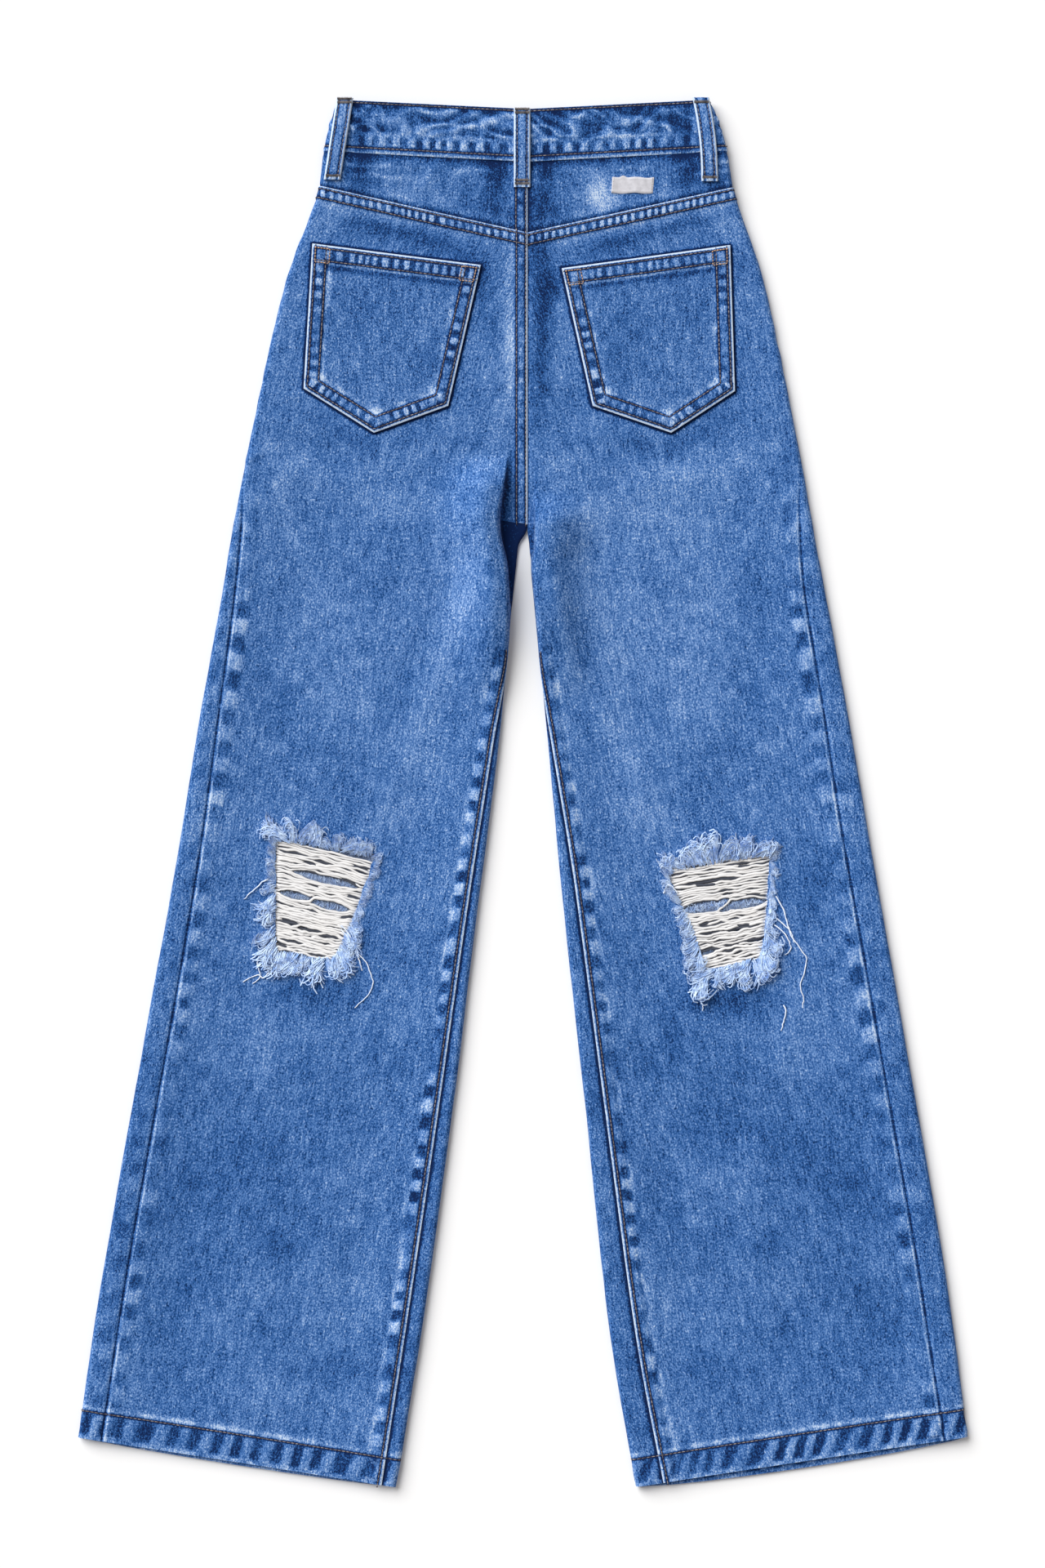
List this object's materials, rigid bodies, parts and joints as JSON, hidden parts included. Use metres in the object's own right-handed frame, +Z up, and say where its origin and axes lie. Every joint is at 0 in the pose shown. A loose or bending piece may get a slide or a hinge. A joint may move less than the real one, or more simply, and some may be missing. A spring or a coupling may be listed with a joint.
{
  "type": "ripped jeans",
  "caption": "Wide-leg blue denim jeans laid flat, back up, with patch pockets, belt loops, a bare label and frayed rips over white yarns behind the knees.",
  "frame": {"origin": "centre of the garment's bounding box, on the surface that it lies on", "axes": "+X across the garment towards the wearer's right, +Y from the hems to the waist, +Z up out of the surface, the back of the jeans facing +Z"},
  "size_m": [0.6213, 0.9693, 0.0119],
  "materials": {
    "denim": "washed mid-blue twill, faded along seams and over the thighs",
    "bare_yarn": "bare white weft yarns",
    "frayed_edge": "pale blue frayed cotton",
    "label": "plain woven tape",
    "zip": "dull brass teeth on cotton tape",
    "button": "antique brass"
  },
  "bodies": {
    "root": {"waistband": "denim", "yoke_left": "denim", "yoke_right": "denim", "back_left": "denim", "back_right": "denim", "front_left": "denim", "front_right": "denim", "back_pocket_left": "denim", "back_pocket_right": "denim", "belt_loop_back_left": "denim", "belt_loop_back_centre": "denim", "belt_loop_back_right": "denim", "belt_loop_front_left": "denim", "belt_loop_front_right": "denim", "rear_label": "label", "rip_yarns_left": "bare_yarn", "rip_yarns_right": "bare_yarn", "rip_fringe_left": "frayed_edge", "rip_fringe_right": "frayed_edge", "fly_zip": "zip", "waist_button": "button"}
  },
  "joints": []
}
